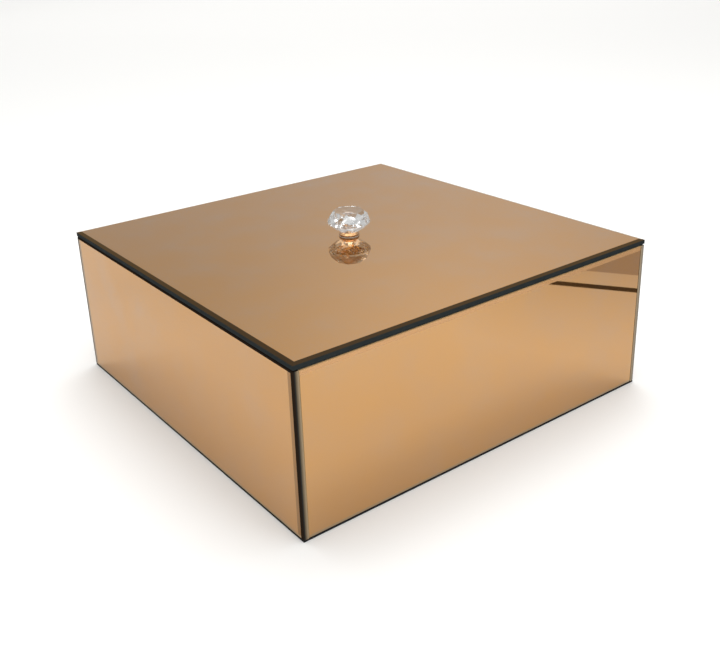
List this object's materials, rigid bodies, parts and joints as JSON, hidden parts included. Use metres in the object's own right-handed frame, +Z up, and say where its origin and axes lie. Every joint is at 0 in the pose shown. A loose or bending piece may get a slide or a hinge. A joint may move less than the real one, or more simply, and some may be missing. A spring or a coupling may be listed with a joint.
{
  "type": "trinket box",
  "caption": "Square trinket box clad in bronze-tinted mirror glass, with a lift-off bevelled mirror lid, a faceted crystal knob and a black flocked lining.",
  "frame": {"origin": "centre of the underside of the closed box, on the surface that it stands on", "axes": "+Z up; -Y is the front; X and Y run along the sides of the square"},
  "size_m": [0.25, 0.25, 0.111],
  "materials": {
    "side_mirror": "bronze-tinted mirror glass with ground, polished edges",
    "lid_mirror": "bronze-tinted bevelled mirror glass",
    "fibreboard": "raw medium-density fibreboard",
    "black_flock": "short flocked pile on card",
    "crystal": "cut and polished",
    "ferrule_brass": "turned and polished, rose-gold plated",
    "clear_gasket": "clear soft PVC",
    "zinc_steel": "bright zinc plated"
  },
  "bodies": {
    "box": {"base_cover": "black_flock", "floor_board": "fibreboard", "wall_front": "fibreboard", "wall_right": "fibreboard", "wall_back": "fibreboard", "wall_left": "fibreboard", "mirror_front": "side_mirror", "mirror_right": "side_mirror", "mirror_back": "side_mirror", "mirror_left": "side_mirror", "lining_front": "black_flock", "lining_right": "black_flock", "lining_back": "black_flock", "lining_left": "black_flock", "lining_floor": "black_flock"},
    "lid": {"lid_mirror": "lid_mirror", "lid_board": "fibreboard", "lid_lining": "black_flock", "knob_gasket": "clear_gasket", "knob_ferrule": "ferrule_brass", "knob_crystal": "crystal", "knob_screw": "zinc_steel", "screw_washer": "zinc_steel"}
  },
  "joints": [
    {"name": "lid_lift", "type": "slide", "parent": "box", "child": "lid", "axis": [0, 0, 1], "range_m": [0, 0.12]}
  ]
}
